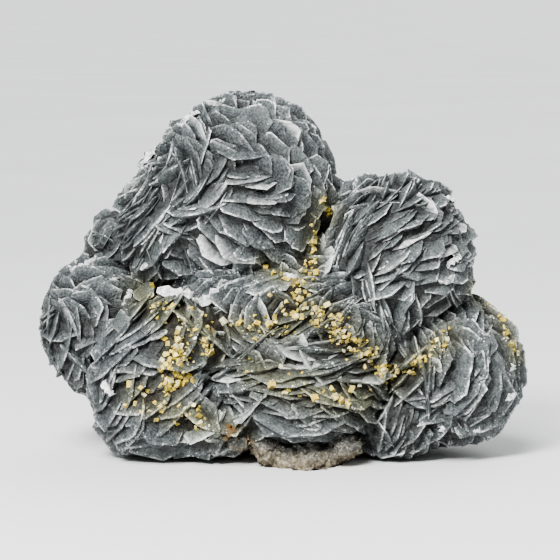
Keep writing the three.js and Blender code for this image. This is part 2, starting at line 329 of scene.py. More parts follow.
def flow(rosette, family, index, out, end):
    """The way each blade's face looks, along the surface, how many radians it leans, and its size"""
    opens = unit(np.array(rosette["opens"], float)) * np.where(out[:, 1] < 0, 1, -1)[:, None]
    face = flattened(opens, out)
    loose_x, loose_z = spread(family, index, Use.LOOSE_X), spread(family, index, Use.LOOSE_Z)
    loose = np.stack([loose_x, 0 * index, loose_z], axis=1)
    at_pole = np.linalg.norm(face, axis=1) < POLE
    face = unit(np.where(at_pole[:, None], flattened(loose, out), face))
    flows_from = rosette["flows_from"]
    front = smooth(-out[:, 1], flows_from, flows_from + FLOWS_RISE)
    weight = 1 - front + ROSE_WEIGHT
    face = face * weight[:, None]
    lean = rosette["lean"] * weight
    size = weight
    total = weight
    for x, z, looks, leans, grows in rosette["flows"]:
        angle = math.radians(looks)
        near = front * np.exp(-((end[:, 0] - x) ** 2 + (end[:, 2] - z) ** 2) / FLOW_REACH**2)
        looking = np.array([[math.cos(angle), 0, math.sin(angle)]])
        face = face + flattened(np.repeat(looking, len(out), 0), out) * near[:, None]
        lean = lean + leans * near
        size = size + grows * near
        total = total + near
    upright = 1 - SIDE_UPRIGHT * np.exp(-((out[:, 1] / SIDE_BAND) ** 2))
    return unit(face), np.radians(lean / total) * upright, size / total


def blade_places(rosette, family):
    """The index of each main blade, its tip direction, face normal, way across, tip, size and lean"""
    index = np.arange(rosette["count"])
    radii = np.array(rosette["radii"], float)
    direction = sphere_points(rosette["count"])
    out = unit(direction / radii)
    reach = 1 + REACH_SPREAD * spread(family, index, Use.REACH)
    end = np.array(rosette["centre"]) + direction * radii * reach[:, None]
    face, lean, size = flow(rosette, family, index, out, end)
    is_twin = chance(family, index, Use.TWIN) < TWIN_SHARE
    twin = np.where(is_twin, np.sign(spread(family, index, Use.TWIN_SIDE)), 0)
    turn = rosette["swirl"] * slow_wave(direction, family) + TURN_SPREAD * spread(family, index, Use.TURN)
    face = turned(face, out, turn + TWIN_TURN * twin)
    lean = lean + np.radians(LEAN_SPREAD * spread(family, index, Use.LEAN))
    across = np.cross(face, out)
    return index, turned(out, across, lean), turned(face, across, lean), across, end, size, lean


GAP, GAP_MORE = 0.9, 0.5
DROP, DROP_MORE = 0.6, 1.4
SHIFT = 2.5
TILT, TILT_SPREAD = 3, 5  # degrees


def companions(family, index, tip, face, across, end, size, lean, side, share):
    """Thinner blades that lie close along one side of some of the main blades"""
    use = Use.COMPANION + side
    chosen = chance(family, index, use) < share
    offset = side * (GAP + GAP_MORE * chance(family, index, use + 2))
    drop = DROP + DROP_MORE * chance(family, index, use + 4)
    shift = SHIFT * spread(family, index, use + 6)
    end = end + face * offset[:, None] - tip * drop[:, None] + across * shift[:, None]
    tilt = np.radians(TILT_SPREAD * spread(family, index, use + 8) + TILT * side)
    tip, face = turned(tip, across, -tilt), turned(face, across, -tilt)
    return [values[chosen] for values in (index, tip, face, across, end, size, lean)]


BURIED = 0.92


def is_shown(rosette, end):
    """Whether blades with these tips stand clear of the base and the other lumps"""
    shown = end[:, 2] > BASE_CUT
    for other in [other for other in ROSETTES.values() if other is not rosette]:
        shown &= depth_in(other, end) > BURIED
    for lump in STONE_LUMPS:
        shown &= depth_in(lump, end) > lump["clears"]
    return shown


# The form of a blade

CORNERS = 6
STEPS_TO_CORNER = 4
SIDES = STEPS_TO_CORNER * (CORNERS - 1) + 1
RINGS = (0.5, 0.84, 1.0)
OPEN = 118  # degrees from the tip to where the outline ends, on either side
CORNER_SPREAD = 0.42
CORNER_JITTER = 0.13
OUTLINE_RADIUS = 1.02
RAGGED = 0.026
CUP, CUP_SPREAD = 0.06, 0.1
CURL, CURL_SPREAD = 0.1, 0.12
FOLDS, FOLDS_MORE = 5, 4
FOLD_STARTS = 6
FOLD_HEIGHT = 0.24
UNEVEN = 0.05
FAN_STEP = 3


def blade_outline(family, index, corner_jitter):
    """Points round each blade's outline, as shares of its half width and half length"""
    corner = np.arange(CORNERS)[None, :]
    index = index[:, None]
    gap = 2 * OPEN / (CORNERS - 1)
    middle = (CORNERS - 1) / 2
    stray = CORNER_SPREAD * spread(family, index, Use.CORNER_ANGLE + corner)
    angle = np.radians(gap * (corner - middle + stray))
    radius = OUTLINE_RADIUS + corner_jitter * spread(family, index, Use.CORNER_RADIUS + corner)
    side, along = radius * np.sin(angle), radius * np.cos(angle)
    step = np.arange(SIDES)
    first = np.minimum(step // STEPS_TO_CORNER, CORNERS - 2)
    share = step / STEPS_TO_CORNER - first
    ragged = 1 + RAGGED * spread(family, index, Use.RAGGED + step[None, :])
    side = (side[:, first] * (1 - share) + side[:, first + 1] * share) * ragged
    along = (along[:, first] * (1 - share) + along[:, first + 1] * share) * ragged
    return side, along


def blade_faces():
    """Four-sided and three-sided faces of one blade, whose points are both sides' rings and centres"""
    sides, rings = SIDES, len(RINGS)
    half = rings * sides
    quads, tris = [], []
    for j in range(sides):
        k = (j + 1) % sides
        for row in range(rings - 1):
            a, b = row * sides + j, row * sides + k
            c, d = a + sides, b + sides
            quads += [(c, d, b, a), (a + half, b + half, d + half, c + half)]
        rim = (rings - 1) * sides
        quads.append((rim + j + half, rim + k + half, rim + k, rim + j))
        tris += [(j, k, 2 * half), (half + k, half + j, 2 * half + 1)]
    return np.array(quads), np.array(tris)


def blade_folds(family, index, around):
    """How far the folds that run from each blade's heart to its rim lift its faces"""
    folds = FOLDS + FOLDS_MORE * chance(family, index, Use.FOLDS)[:, None]
    starts = FOLD_STARTS * chance(family, index, Use.FOLD_START)[:, None]
    return FOLD_HEIGHT * np.sin(folds * around + starts)


def blades(family, index, tip, face, across, end, length, width, thick, rim, jitter=CORNER_JITTER):
    """The points of some blades, how near each point is to its blade's rim, and its place round the rim.
    The rim's half thickness is given for both faces of each blade and for each point of its outline."""
    side, along = blade_outline(family, index, jitter)
    cup = CUP + CUP_SPREAD * spread(family, index, Use.CUP)
    curl = CURL + CURL_SPREAD * spread(family, index, Use.CURL)
    heart = end - tip * length[:, None]
    around = np.linspace(-1, 1, SIDES)[None, :]
    folds = blade_folds(family, index, around)
    places, edges = [], []
    for facing, blunt in zip((1, -1), rim):
        for ring, share in enumerate(RINGS):
            use = Use.UNEVEN + Use.UNEVEN_RING * ring + np.arange(SIDES)
            uneven = UNEVEN * thick[:, None] * spread(family, index[:, None], use)
            swell = folds * facing * math.sin(math.pi * share) + uneven * (share < 1)
            v = thick[:, None] * (1 - share) + blunt + swell
            places.append((side * share * width[:, None], along * share * length[:, None], facing * v))
            edges.append(np.full(side.shape, share))
    for facing, blunt in zip((1, -1), rim):
        middle = np.zeros((len(index), 1))
        places.append((middle, middle, middle + facing * (thick[:, None] + blunt[:, :1])))
        edges.append(middle)
    u, w, v = (np.concatenate([place[axis] for place in places], axis=1)[..., None] for axis in range(3))
    bend = cup[:, None, None] * u**2 / width[:, None, None]
    bend = bend - curl[:, None, None] * np.maximum(w, 0) ** 2 / length[:, None, None]
    points = heart[:, None] + across[:, None] * u + tip[:, None] * w + face[:, None] * (v + bend)
    fan = np.tile(around, (len(index), 2 * len(RINGS)))
    fan = np.concatenate([fan, np.zeros((len(index), 2))], axis=1)
    return points, np.concatenate(edges, axis=1), fan + FAN_STEP * index[:, None]


# The blades of a rosette

FIXED_SHARE = 0.4  # of a blade's length and thickness that doesn't change with its size
SIZE_SPREAD = 0.26
WIDTH_SPREAD = 0.15
LENGTH_SPREAD = 0.12
THICK_SPREAD = 0.25
UPRIGHT_THICK = 1.65
LEANING_THIN = 1.15
HOLLOW_SHARE = 0.955
HOLLOW_SIZE = 0.85
GLINT_WHITE, GLINT_WHITE_MORE = 0.35, 0.3


def blade_measures(rosette, kind, index, size, lean):
    """Each blade's half length, half width and half thickness: upright blades are the thickest"""
    half_length, half_width, half_thick = rosette["blade"]
    grown = FIXED_SHARE + (1 - FIXED_SHARE) * size
    length = half_length * grown * (1 + LENGTH_SPREAD * spread(kind, index, Use.LENGTH))
    width = half_width * size * (1 + WIDTH_SPREAD * spread(kind, index, Use.WIDTH))
    thick = half_thick * grown * (1 + THICK_SPREAD * spread(kind, index, Use.THICK))
    return length, width, thick * (UPRIGHT_THICK - LEANING_THIN * np.sin(np.abs(lean)))


def rosette_blades(name, family):
    """Every blade of a rosette: its points, and what its material needs to know of them"""
    rosette = ROSETTES[name]
    main = blade_places(rosette, family)
    sets = [(family, main)]
    for side in (1, -1):
        beside = companions(family, *main, side, rosette["companions"])
        sets.append((family + COMPANION_FAMILY * side, beside))
    made = []
    for kind, places in sets:
        shown = is_shown(rosette, places[4])
        index, tip, face, across, end, size, lean = (values[shown] for values in places)
        sunk = in_hollow(end)
        centre = np.array(rosette["centre"])
        end = np.where(sunk[:, None], centre + (end - centre) * HOLLOW_SHARE, end)
        size = size * np.where(sunk, HOLLOW_SIZE, 1) * (1 + SIZE_SPREAD * spread(kind, index, Use.SIZE))
        measures = blade_measures(rosette, kind, index, size, lean)
        rim = np.full((2, len(index), SIDES), rosette["blunt"])
        points, edge, fan = blades(kind, index, tip, face, across, end, *measures, rim)
        darkest, palest = rosette["tones"]
        tone = darkest + (palest - darkest) * chance(kind, index, Use.TONE)
        # Some blades glint: a painted highlight, white towards the rim, kept with the white of broken rims
        glints = (chance(kind, index, Use.GLINT) < rosette["glint"]) & ~sunk
        white = (GLINT_WHITE + GLINT_WHITE_MORE * chance(kind, index, Use.WHITE)) * glints
        made.append((points, edge, fan, 0 * edge + tone[:, None], edge * white[:, None]))
    return (np.concatenate(parts) for parts in zip(*made))


SHARP_ANGLE = math.radians(50)


def blades_mesh(name, points, edge, fan, tone, broken):
    """Blades as one mesh, with what the material needs to know kept on its points"""
    quads, tris = blade_faces()
    first = (np.arange(len(points)) * points.shape[1])[:, None, None]
    faces = (quads[None] + first).reshape(-1, 4).tolist() + (tris[None] + first).reshape(-1, 3).tolist()
    points = points.reshape(-1, 3)
    points[:, 2] = np.maximum(points[:, 2], BASE_CUT)
    mesh = bpy.data.meshes.new(name)
    mesh.from_pydata((points * MM).tolist(), [], faces)
    mesh.polygons.foreach_set("use_smooth", [True] * len(mesh.polygons))
    mesh.set_sharp_from_angle(angle=SHARP_ANGLE)
    # broken holds the white of broken rims and of the painted glints
    for measure, values in (("edge", edge), ("fan", fan), ("tone", tone), ("broken", broken)):
        store(mesh, measure, values.reshape(-1))
    return mesh, points


def store(mesh, name, values, domain="POINT"):
    """Keeps one number for each point or face of a mesh, for its material to read"""
    layer = mesh.attributes.new(name, "FLOAT", domain)
    layer.data.foreach_set("value", np.asarray(values, np.float32))


STAIN_REACH, STAIN_OF_STRAY = 2.5, 0.5
STAIN_ENDS = 5  # behind the middle plane, where the stain has faded out


def store_place(mesh, deep, points):
    """Keeps how far out each point is in its rosette, and how near it is to the yellow crystals"""
    near = np.zeros(len(points))
    for drift in DRIFTS:
        reach = STAIN_OF_STRAY * drift["stray"] + STAIN_REACH
        near = np.maximum(near, np.exp(-((distance_to_drift(drift, points) / reach) ** 2)))
    store(mesh, "deep", deep)
    store(mesh, "stained", near * smooth(-points[:, 1], -STAIN_ENDS, STAIN_ENDS))


# The hearts of the rosettes

CORE_SHARE = 0.9
CORE_DETAIL = 5
CORE_GRAIN = 0.4
CORE_RELIEF = 1.1
# A core's low edge number gives it the painted shade of the blades' hearts
CORE_NUMBERS = {"edge": 0.2, "fan": 0, "tone": 0.3, "broken": 0}


def fractal(points, grain, roughness, step, layers):
    """Noise of several layers at each point, whose grain is in repeats a millimetre"""
    return np.array([noise.fractal(Vector(p) * grain, roughness, step, layers) for p in points])


def lump_mesh(lump, name, share, detail):
    ball = bmesh.new()
    bmesh.ops.create_icosphere(ball, subdivisions=detail, radius=1)
    mesh = bpy.data.meshes.new(name)
    ball.to_mesh(mesh)
    ball.free()
    points = np.array([v.co for v in mesh.vertices])
    points = points * np.array(lump["radii"]) * share + np.array(lump["centre"])
    mesh.vertices.foreach_set("co", (points * MM).reshape(-1))
    return mesh


def core_mesh(name):
    """The grown-together heart of a rosette, which shows between its blades"""
    rosette = ROSETTES[name]
    mesh = lump_mesh(rosette, name + "_core", CORE_SHARE, CORE_DETAIL)
    points = np.array([v.co for v in mesh.vertices]) / MM
    bumps = fractal(points, CORE_GRAIN, roughness=0.7, step=2.0, layers=3)
    points = points + unit(points - np.array(rosette["centre"])) * (CORE_RELIEF * bumps)[:, None]
    points[:, 2] = np.maximum(points[:, 2], BASE_CUT)
    mesh.vertices.foreach_set("co", (points * MM).reshape(-1))
    for measure, value in CORE_NUMBERS.items():
        store(mesh, measure, np.full(len(points), value))
    store_place(mesh, np.full(len(points), CORE_SHARE), points)
    return mesh


# Objects


def piece(name, mesh):
    made = bpy.data.objects.new(name, mesh)
    bpy.context.scene.collection.objects.link(made)
    return made


def joined_pieces(name, pieces):
    """Several objects' meshes in one object"""
    bpy.ops.object.select_all(action="DESELECT")
    for item in pieces:
        item.select_set(True)
    bpy.context.view_layer.objects.active = pieces[0]
    bpy.ops.object.join()
    pieces[0].name = name
    pieces[0].data.name = name
    return pieces[0]


def applied(item):
    """The object with its modifiers made part of its mesh"""
    graph = bpy.context.evaluated_depsgraph_get()
    mesh = bpy.data.meshes.new_from_object(item.evaluated_get(graph))
    old = item.data
    item.modifiers.clear()
    item.data = mesh
    bpy.data.meshes.remove(old)
    return item


# Material nodes


class Nodes:
    """A short way to write a material's nodes"""

    def __init__(self, name):
        self.material = bpy.data.materials.new(name)
        self.material.use_nodes = True
        self.tree = self.material.node_tree
        self.tree.nodes.clear()
        output = self.tree.nodes.new("ShaderNodeOutputMaterial")
        self.shader = self.tree.nodes.new("ShaderNodeBsdfPrincipled")
        self.tree.links.new(self.shader.outputs[0], output.inputs[0])
        self.place = self.tree.nodes.new("ShaderNodeTexCoord").outputs["Object"]

    def link(self, value, socket):
        if isinstance(value, bpy.types.NodeSocket):
            self.tree.links.new(value, socket)
        else:
            socket.default_value = value

    def number(self, name):
        node = self.tree.nodes.new("ShaderNodeAttribute")
        node.attribute_name = name
        return node.outputs["Fac"]

    def noise(self, scale, detail=3.0, roughness=0.55):
        """Soft noise, with so many repeats a metre"""
        node = self.tree.nodes.new("ShaderNodeTexNoise")
        self.link(self.place, node.inputs["Vector"])
        node.inputs["Scale"].default_value = scale
        node.inputs["Detail"].default_value = detail
        node.inputs["Roughness"].default_value = roughness
        return node.outputs["Fac"]

    def cells(self, scale):
        """A number for each cell of a net, with so many cells a metre"""
        node = self.tree.nodes.new("ShaderNodeTexVoronoi")
        self.link(self.place, node.inputs["Vector"])
        node.inputs["Scale"].default_value = scale
        return node.outputs["Color"]

    def y_and_z(self):
        node = self.tree.nodes.new("ShaderNodeSeparateXYZ")
        self.link(self.place, node.inputs[0])
        return node.outputs[1], node.outputs[2]

    def math(self, operation, a, b=0.0):
        node = self.tree.nodes.new("ShaderNodeMath")
        node.operation = operation
        self.link(a, node.inputs[0])
        self.link(b, node.inputs[1])
        return node.outputs[0]

    def times(self, a, b):
        return self.math("MULTIPLY", a, b)

    def step(self, value, low, high, to_low=0.0, to_high=1.0):
        """A smooth step from to_low to to_high as value goes from low to high"""
        node = self.tree.nodes.new("ShaderNodeMapRange")
        node.interpolation_type = "SMOOTHSTEP"
        self.link(value, node.inputs["Value"])
        ends = {"From Min": low, "From Max": high, "To Min": to_low, "To Max": to_high}
        for socket, number in ends.items():
            self.link(number, node.inputs[socket])
        return node.outputs[0]

    def mix(self, share, a, b, blend="MIX"):
        node = self.tree.nodes.new("ShaderNodeMix")
        node.data_type = "RGBA"
        node.blend_type = blend
        self.link(share, node.inputs[0])
        self.link(a if isinstance(a, bpy.types.NodeSocket) else (*a, 1), node.inputs[6])
        self.link(b if isinstance(b, bpy.types.NodeSocket) else (*b, 1), node.inputs[7])
        return node.outputs[2]

    def tinted(self, base, tint):
        return self.mix(1, base, tint, "MULTIPLY")

    def bump(self, height, strength, distance, normal=None):
        node = self.tree.nodes.new("ShaderNodeBump")
        node.inputs["Strength"].default_value = strength
        node.inputs["Distance"].default_value = distance
        self.link(height, node.inputs["Height"])
        if normal:
            self.link(normal, node.inputs["Normal"])
        return node.outputs[0]

    def set(self, **sockets):
        for name, value in sockets.items():
            self.link(value, self.shader.inputs[name.replace("_", " ")])
        return self.material


# Calcite: its colours, and the smooth steps over which they come and go. Edge goes from 0 at a blade's
# heart to 1 at its rim, deep from 0 at a rosette's heart to 1 at its surface.

# The dark colour at a blade's heart is painted shade where the blade is hidden, and the paler colour near
# its rim is painted light
HEART_SHADE = (0.015, 0.019, 0.021)
BODY, HEART_SHADE_BAND = (0.06, 0.069, 0.07), (0.3, 0.9)
LIT_NEAR_RIM, LIT_NEAR_RIM_BAND, LIT_NEAR_RIM_TONES = (0.155, 0.169, 0.166), (0.78, 1.05), (0, 0.8, 0.3, 1)
BLUE_PATCH, PATCH_BAND = (0.035, 0.042, 0.047), (0.35, 0.65, 0.5, 0)
PALE_BLADE, PALE_TONES = (0.135, 0.151, 0.149), (0.3, 1, 0, 0.5)
STREAK, STREAK_BAND, STREAK_SHARE = (0.26, 0.28, 0.275), (0.3, 0.8), 0.2
SHADE, SHADE_BAND = (0.014, 0.014, 0.013), (0.85, 1.0, 0.93, 0)
GROWTH_LINE, GROWTH_SHARE = (0.3, 0.32, 0.31), 0.08
# The rims' white is frost and partly a painted highlight; the same white marks the glinting specks
FROST_AND_HIGHLIGHT, FROST_AND_HIGHLIGHT_BAND = (0.9, 0.93, 0.91), (0.9, 0.98)
FROST_AND_HIGHLIGHT_PATCHES, FROST_AND_HIGHLIGHT_DEEP = (0.46, 0.6), (0.9, 0.99)
FROST_AND_HIGHLIGHT_DASHES, FROST_AND_HIGHLIGHT_TONES = (0.42, 0.56, 0.3, 1), (0.1, 0.6, 0.4, 1)
STAIN, STAIN_SHARE = (1.1, 0.98, 0.5), 0.7
# Dark brown of the deep hollows near the crystals: stain and painted shade
HOLLOW_STAIN_AND_SHADE, HOLLOW_STAIN_AND_SHADE_BAND = (0.012, 0.008, 0.004), (0.89, 0.98, 0.95, 0)
# Specks that glint near the rims, painted white
GLINT_SPECK_CELLS, GLINT_SPECK_BAND, GLINT_SPECK_DEEP = (0.84, 0.9), (0.72, 0.97), (0.93, 1.0, 0, 0.85)
GRAIN_BAND, DARK_GRAIN, PALE_GRAIN = (0.3, 0.7), (0.58, 0.58, 0.58), (1.45, 1.45, 1.45)
# White of broken rims and of painted glints
DULL_BREAK_AND_GLINT, WHITE_BREAK_AND_GLINT = (0.34, 0.36, 0.34), (0.88, 0.9, 0.87)
BREAK_AND_GLINT_GRAIN, BREAK_AND_GLINT_BAND = (0.35, 0.6), (0.25, 0.75)
EDGE_ROUGH = 0.5
GROWTH_LINES, GROWTH_WANDER = 34, 16
STREAKS, STREAK_WANDER = 31, 9


def growth_lines(n, edge):
    """Fine lines that run round a blade, one inside the other"""
    growth = n.math("ADD", n.times(edge, GROWTH_LINES), n.times(n.noise(scale=330), GROWTH_WANDER))
    return n.math("SINE", growth)


def radial_streaks(n, edge):
    """Streaks that run from a blade's heart to its rim"""
    fan = n.times(n.number("fan"), STREAKS)
    wander = n.times(n.noise(scale=420, detail=2), STREAK_WANDER)
    streaks = n.math("SINE", n.math("ADD", fan, wander))
    return n.times(n.step(streaks, -1, 1), n.step(edge, *STREAK_BAND))


def blade_colour(n, edge, tone, clouds):
    """Painted shade darkens each blade towards its hidden heart and painted light makes it paler towards
    the rim, with bluish patches and some paler blades
    """
    rough_edge = n.math("ADD", edge, n.times(n.math("SUBTRACT", clouds, 0.5), EDGE_ROUGH))
    base = n.mix(n.step(rough_edge, *HEART_SHADE_BAND), HEART_SHADE, BODY)
    lit_near_rim = n.times(n.step(rough_edge, *LIT_NEAR_RIM_BAND), n.step(tone, *LIT_NEAR_RIM_TONES))
    base = n.mix(lit_near_rim, base, LIT_NEAR_RIM)
    base = n.mix(n.step(n.noise(scale=70), *PATCH_BAND), base, BLUE_PATCH)
    return n.mix(n.step(tone, *PALE_TONES), base, PALE_BLADE)


def frost_and_highlight_on_rims(n, edge, tone, deep):
    """How much white frost, partly a painted highlight, lies on the rims, in dashes and most on the pale
    blades
    """
    lit = n.times(n.step(n.noise(scale=150), *FROST_AND_HIGHLIGHT_PATCHES), n.step(deep, *FROST_AND_HIGHLIGHT_DEEP))
    dashes = n.step(n.noise(scale=1000, detail=2), *FROST_AND_HIGHLIGHT_DASHES)
    rim = n.times(n.times(n.step(edge, *FROST_AND_HIGHLIGHT_BAND), lit), dashes)
    return n.times(rim, n.step(tone, *FROST_AND_HIGHLIGHT_TONES))


def calcite_material():
    n = Nodes("grey calcite")
    edge, tone, deep, stained = (n.number(name) for name in ("edge", "tone", "deep", "stained"))
    clouds, grains = n.noise(scale=260, roughness=0.65), n.noise(scale=1700, detail=2, roughness=0.7)
    lines, streaks = growth_lines(n, edge), radial_streaks(n, edge)
    base = blade_colour(n, edge, tone, clouds)
    base = n.mix(n.times(streaks, STREAK_SHARE), base, STREAK)
    base = n.mix(n.step(deep, *SHADE_BAND), base, SHADE)
    base = n.mix(n.step(lines, -1, 1, 0, GROWTH_SHARE), base, GROWTH_LINE)
    # White frost on the rims, partly a painted highlight
    base = n.mix(frost_and_highlight_on_rims(n, edge, tone, deep), base, FROST_AND_HIGHLIGHT)
    base = n.mix(n.times(stained, STAIN_SHARE), base, n.tinted(base, STAIN))
    # The deep hollows near the crystals turn dark brown: stain and painted shade
    base = n.mix(n.times(stained, n.step(deep, *HOLLOW_STAIN_AND_SHADE_BAND)), base, HOLLOW_STAIN_AND_SHADE)
    # Glinting specks near the rims: painted glints in the colour, and smoother there
    glint_speck = n.times(n.step(n.cells(scale=2600), *GLINT_SPECK_CELLS), n.step(edge, *GLINT_SPECK_BAND))
    base = n.mix(n.times(glint_speck, n.step(deep, *GLINT_SPECK_DEEP)), base, FROST_AND_HIGHLIGHT)
    base = n.mix(n.step(grains, *GRAIN_BAND), n.tinted(base, DARK_GRAIN), n.tinted(base, PALE_GRAIN))
    # The white of broken rims, and of painted glints on some blades
    white = n.mix(n.step(n.noise(scale=600, roughness=0.75), *BREAK_AND_GLINT_GRAIN), DULL_BREAK_AND_GLINT, WHITE_BREAK_AND_GLINT)
    base = n.mix(n.step(n.number("broken"), *BREAK_AND_GLINT_BAND), base, white)
    normal = n.bump(grains, strength=0.8, distance=0.4 * MM)
    normal = n.bump(lines, strength=0.25, distance=0.3 * MM, normal=normal)
    normal = n.bump(streaks, strength=0.4, distance=0.4 * MM, normal=normal)
    normal = n.bump(clouds, strength=0.6, distance=0.9 * MM, normal=normal)
    return n.set(
        Base_Color=base, Roughness=n.step(glint_speck, 0, 1, 0.6, 0.2), Normal=normal, IOR=1.5,
        Specular_IOR_Level=0.3,
    )


# Stone: its colours and where they come and go

STONE_DARK, STONE_PALE, STONE_BAND = (0.16, 0.125, 0.085), (0.3, 0.255, 0.18), (0.35, 0.65)
RUST, RUST_BAND = (0.24, 0.13, 0.045), (0.58, 0.7, 0, 0.5)
CREAM, CREAM_BAND = (0.4, 0.35, 0.24), (0.48, 0.62, 0, 0.7)
CRUST, CRUST_HEIGHTS, CRUST_FRONT = (0.105, 0.112, 0.107), (0.002, 0.007), (-0.022, -0.014, 0.9, 0)
CRUST_UNEVEN = 0.02
PALE_CELL, PALE_CELLS = (0.5, 0.48, 0.4), (0.6, 0.75, 0, 0.5)
STONE_SHADE, STONE_SHADE_BAND = (0.05, 0.042, 0.03), (0.35, 0.6, 0.7, 0)


def stone_material():
    """Brown stone, whose front crust turns grey a few millimetres above the base"""
    n = Nodes("brown stone")
    patches = n.noise(scale=75, detail=5, roughness=0.7)
    grains = n.noise(scale=900, detail=4, roughness=0.75)
    base = n.mix(n.step(patches, *STONE_BAND), STONE_DARK, STONE_PALE)
    base = n.mix(n.step(n.noise(scale=130, detail=5, roughness=0.7), *RUST_BAND), base, RUST)
    base = n.mix(n.step(n.noise(scale=260, detail=4, roughness=0.7), *CREAM_BAND), base, CREAM)
    y, z = n.y_and_z()
    height = n.math("ADD", z, n.times(n.math("SUBTRACT", patches, 0.5), CRUST_UNEVEN))
    crust = n.times(n.step(height, *CRUST_HEIGHTS), n.step(y, *CRUST_FRONT))
    base = n.mix(crust, base, CRUST)
    base = n.mix(n.step(n.cells(scale=1500), *PALE_CELLS), base, PALE_CELL)
    base = n.mix(n.step(grains, *STONE_SHADE_BAND), base, STONE_SHADE)
    normal = n.bump(grains, strength=0.8, distance=0.5 * MM)
    knobs = n.noise(scale=260, detail=4, roughness=0.65)
    normal = n.bump(knobs, strength=0.9, distance=1.4 * MM, normal=normal)
    return n.set(Base_Color=base, Roughness=0.85, Normal=normal, Specular_IOR_Level=0.3)


# Crystals: their colours, and the tones from which they count. A facet's painted light goes from 0 dark to
# 1 lit.

MILKY, MILKY_BAND = (0.86, 0.82, 0.55), (0.08, 0.16)
HONEY, HONEY_BAND = (0.86, 0.71, 0.24), (0.2, 0.5)
AMBER, AMBER_BAND = (0.84, 0.63, 0.13), (0.66, 0.75)
OLIVE, OLIVE_BAND = (0.46, 0.38, 0.07), (0.95, 0.97)
BROWN = (0.13, 0.075, 0.035)
FACET_SHADE, FACET_BAND = (0.08, 0.055, 0.01), (0.3, 0.85, 0.95, 0)
CRYSTAL_GRAIN, CRYSTAL_GRAIN_BAND = (0.16, 0.1, 0.02), (0.35, 0.7, 0.3, 0)


def crystal_material():
    n = Nodes("yellow crystal")
    tone, grains = n.number("tone"), n.noise(scale=1600, detail=2)
    base = n.mix(n.step(tone, *MILKY_BAND), MILKY, HONEY)
    base = n.mix(n.step(tone, *HONEY_BAND), base, AMBER)
    base = n.mix(n.step(tone, *AMBER_BAND), base, OLIVE)
    base = n.mix(n.step(tone, *OLIVE_BAND), base, BROWN)
    # Painted shade on the faces that look away from the light
    base = n.mix(n.step(n.number("lit_and_toned_facet"), *FACET_BAND), base, FACET_SHADE)
    base = n.mix(n.step(grains, *CRYSTAL_GRAIN_BAND), base, CRYSTAL_GRAIN)
    return n.set(
        Base_Color=base, Roughness=0.18, IOR=1.6, Normal=n.bump(grains, 0.25, 0.2 * MM),
        Subsurface_Weight=0.1, Subsurface_Radius=(0.002, 0.0014, 0.0006), Subsurface_Scale=1.0,
    )


CALCITE, STONE, CRYSTAL = calcite_material(), stone_material(), crystal_material()


# The pieces


def dressed(item, material, slot, *nodes):
    """Gives a piece its material and its place in the frame"""
    item.data.materials.clear()
    item.data.materials.append(material)
    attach(item, "root")
    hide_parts(*nodes)
    return item


def dressed_calcite(item):
    return dressed(item, CALCITE, "grey_calcite", "calcite_rosettes")


def make_rosettes():
    made = []
    for family, name in enumerate(ROSETTES):
        mesh, points = blades_mesh(name, *rosette_blades(name, family))
        store_place(mesh, depth_in(ROSETTES[name], points), points)
        parts = [piece(name + "_blades", mesh), piece(name + "_core", core_mesh(name))]
        made.append(dressed_calcite(joined_pieces("rosette_" + name, parts)))
    return made


# The stone's relief: each layer's grain, in repeats a millimetre, and its height
BROAD_GRAIN, BROAD_HEIGHT = 0.05, 2
KNOB_GRAIN, KNOB_HEIGHT = 0.22, 0.5
KNOB_FORM = (0.8, 2.1, 4, 1.0, 2.0)  # roughness, step, layers, offset and gain
GRIT_GRAIN, GRIT_HEIGHT = 0.5, 1.7
FACE_GRAIN, FACE_HEIGHT = 0.085, 5
STONE_SINKS = 1.9
STONE_SEED = 5
STONE_VOXEL = 0.8
STONE_DETAIL = 4
TILT_STEP = 7.3


def broken_relief(point):
    """The height of broken faces at a point, each tilted its own way"""
    spot = Vector(point) * FACE_GRAIN
    nearest = noise.voronoi(spot)[1][0]
    return (spot - nearest).dot(noise.noise_vector(nearest * TILT_STEP))


def knobbly_relief(point):
    return noise.ridged_multi_fractal(Vector(point) * KNOB_GRAIN, *KNOB_FORM)


def stone_relief(points):
    """How far each point of the stone stands out from its plain lumps"""
    noise.seed_set(STONE_SEED)
    broad = fractal(points, BROAD_GRAIN, roughness=0.7, step=2.1, layers=6)
    knobs = np.array([knobbly_relief(point) for point in points])
    grit = fractal(points, GRIT_GRAIN, roughness=0.6, step=2.0, layers=3)
    faces = np.array([broken_relief(point) for point in points])
    rough = BROAD_HEIGHT * broad + KNOB_HEIGHT * knobs + GRIT_HEIGHT * grit
    return rough + FACE_HEIGHT * faces - STONE_SINKS


def make_stone():
    lumps = [piece("lump", lump_mesh(lump, "lump", 1, STONE_DETAIL)) for lump in STONE_LUMPS]
    stone = joined_pieces("stone", lumps)
    remesh = stone.modifiers.new("remesh", "REMESH")
    remesh.mode = "VOXEL"
    remesh.voxel_size = STONE_VOXEL * MM
    applied(stone)
    mesh = stone.data
    points = np.array([v.co for v in mesh.vertices]) / MM
    normals = np.array([v.normal for v in mesh.vertices])
    points = points + normals * stone_relief(points)[:, None]
    points[:, 2] = np.maximum(points[:, 2], 0)
    mesh.vertices.foreach_set("co", (points * MM).reshape(-1))
    mesh.polygons.foreach_set("use_smooth", [True] * len(mesh.polygons))
    dressed(stone, STONE, "brown_stone", "base_stone")


SIGHT_FROM = -0.2  # metres


def front_of(trees, x, z):
    """The y where a line of sight from the front first meets the specimen, or None past its edge"""
    sight = Vector((x * MM, SIGHT_FROM, z * MM)), Vector((0, 1, 0))
    hits = [tree.ray_cast(*sight)[0] for tree in trees]
    near = [hit.y / MM for hit in hits if hit is not None]
    return min(near) if near else None


def front_places(trees, x, z, stands_out):
    """Points just in front of the specimen"""
    deep = np.array([front_of(trees, *place) or 0 for place in zip(x, z)])
    return np.stack([x, deep - stands_out, z], axis=1)


